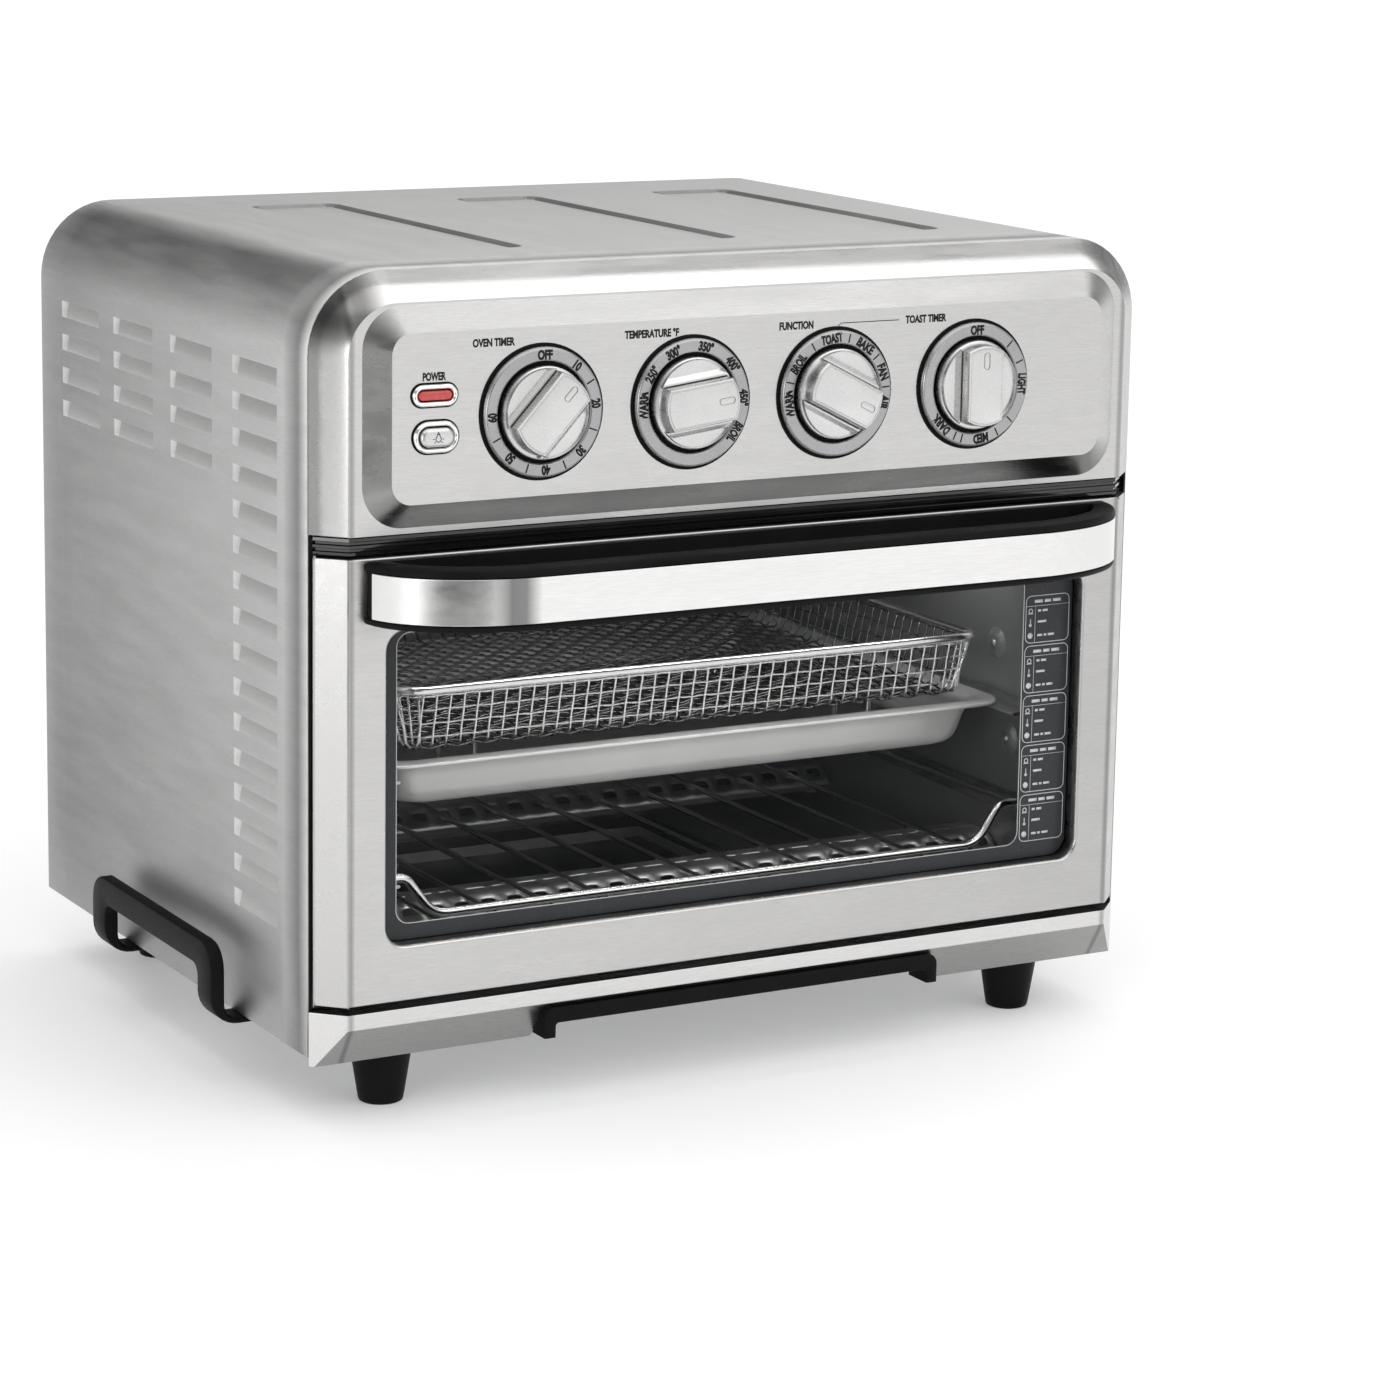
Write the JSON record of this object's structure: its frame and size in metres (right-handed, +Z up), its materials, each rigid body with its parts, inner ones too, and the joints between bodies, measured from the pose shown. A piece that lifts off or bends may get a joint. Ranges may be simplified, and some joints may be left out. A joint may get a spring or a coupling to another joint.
{
  "type": "toaster oven",
  "caption": "Countertop toaster oven with a drop-down glass door, knob panel, wire rack, baking pan and air-fry basket.",
  "frame": {"origin": "middle of the footprint on the table, under the middle of the overall box", "axes": "+X to the right of a person facing the front, front and door face -Y, +Z up"},
  "size_m": [0.432, 0.3544, 0.3544],
  "materials": {
    "brushed_steel": "fine horizontal brushed grain",
    "satin_trim": "satin, circular grain",
    "chrome_wire": "bright plated",
    "galvanised_steel": "dull zinc-plated sheet",
    "dark_enamel": "satin non-stick coating",
    "black_plastic": "fine moulded texture",
    "gloss_black": "polished",
    "door_glass": "clear tempered, dark printed border",
    "red_lens": "translucent polished",
    "aluminium": "satin pressed sheet",
    "quartz": "frosted quartz tube with ceramic ends",
    "ceramic": "unglazed ceramic",
    "lamp_glass": "clear"
  },
  "bodies": {
    "oven": {"outer_wrap": "brushed_steel", "control_panel": "brushed_steel", "base_rail": "brushed_steel", "rear_cover": "galvanised_steel", "base_plate": "galvanised_steel", "control_bracket": "galvanised_steel", "rack_guide_left": "galvanised_steel", "rack_guide_right": "galvanised_steel", "fan_motor": "galvanised_steel", "fan_cover": "galvanised_steel", "heater_guard_front": "galvanised_steel", "heater_guard_rear": "galvanised_steel", "hinge_bracket_left": "galvanised_steel", "hinge_bracket_right": "galvanised_steel", "oven_timer_movement": "galvanised_steel", "toast_timer_movement": "galvanised_steel", "thermostat": "ceramic", "function_switch": "ceramic", "foot_front_left": "black_plastic", "foot_front_right": "black_plastic", "foot_rear_left": "black_plastic", "foot_rear_right": "black_plastic", "side_handle_left": "black_plastic", "side_handle_right": "black_plastic", "light_switch": "black_plastic", "cord_gland": "black_plastic", "seam_strip": "gloss_black", "cavity_liner": "dark_enamel", "front_frame": "dark_enamel", "lower_heater_front": "quartz", "lower_heater_rear": "quartz", "upper_heater_front": "quartz", "upper_heater_rear": "quartz", "oven_timer_ring": "satin_trim", "temperature_ring": "satin_trim", "function_ring": "satin_trim", "toast_timer_ring": "satin_trim", "power_lamp_bezel": "chrome_wire", "light_button_bezel": "chrome_wire", "hinge_pin_left": "chrome_wire", "hinge_pin_right": "chrome_wire", "power_lamp_lens": "red_lens", "oven_lamp_cover": "lamp_glass", "oven_lamp_bulb": "lamp_glass"},
    "door": {"door_frame": "brushed_steel", "door_glass": "door_glass", "door_inner_frame": "dark_enamel", "door_handle": "black_plastic", "door_handle_band": "brushed_steel"},
    "oven_timer_dial": {"oven_timer_knob": "satin_trim"},
    "temperature_dial": {"temperature_knob": "satin_trim"},
    "function_dial": {"function_knob": "satin_trim"},
    "toast_timer_dial": {"toast_timer_knob": "satin_trim"},
    "light_push": {"light_button": "satin_trim"},
    "crumb_tray_drawer": {"crumb_tray": "aluminium", "crumb_tray_pull": "black_plastic"},
    "rack": {"wire_rack": "chrome_wire"},
    "pan": {"baking_pan": "aluminium"},
    "basket": {"air_fry_basket": "chrome_wire"},
    "fan": {"fan_blade": "aluminium"}
  },
  "joints": [
    {"name": "door_hinge", "type": "hinge", "parent": "oven", "child": "door", "pos_m": [0, -0.1312, 0.056], "axis": [1, 0, 0], "range_deg": [0, 90]},
    {"name": "oven_timer_turn", "type": "hinge", "parent": "oven", "child": "oven_timer_dial", "pos_m": [-0.1045, -0.1522, 0.2953], "axis": [0, 1, 0], "range_deg": [-43, 225]},
    {"name": "temperature_turn", "type": "hinge", "parent": "oven", "child": "temperature_dial", "pos_m": [-0.0348, -0.1522, 0.2953], "axis": [0, 1, 0], "range_deg": [-173, 37]},
    {"name": "function_turn", "type": "hinge", "parent": "oven", "child": "function_dial", "pos_m": [0.0348, -0.1522, 0.2953], "axis": [0, 1, 0], "range_deg": [-217, 3]},
    {"name": "toast_timer_turn", "type": "hinge", "parent": "oven", "child": "toast_timer_dial", "pos_m": [0.1045, -0.1522, 0.2953], "axis": [0, 1, 0], "range_deg": [0, 225]},
    {"name": "light_button_press", "type": "slide", "parent": "oven", "child": "light_push", "axis": [0, 1, 0], "range_m": [0, 0.002], "stiffness_N_per_m": 250},
    {"name": "crumb_tray_slide", "type": "slide", "parent": "oven", "child": "crumb_tray_drawer", "axis": [0, -1, 0], "range_m": [0, 0.135]},
    {"name": "wire_rack_slide", "type": "slide", "parent": "oven", "child": "rack", "axis": [0, -1, 0], "range_m": [0, 0.0503]},
    {"name": "baking_pan_slide", "type": "slide", "parent": "oven", "child": "pan", "axis": [0, -1, 0], "range_m": [0, 0.1571]},
    {"name": "basket_lift", "type": "slide", "parent": "pan", "child": "basket", "axis": [0, 0, 1], "range_m": [0, 0.03]},
    {"name": "fan_spin", "type": "hinge", "parent": "oven", "child": "fan", "pos_m": [0, 0.0138, 0.23], "axis": [0, 0, 1], "continuous": true}
  ],
  "couplings": [
    {"joint": "wire_rack_slide", "follows": "door_hinge", "m_per_rad": 0.032},
    {"joint": "baking_pan_slide", "follows": "door_hinge", "m_per_rad": 0.1}
  ]
}
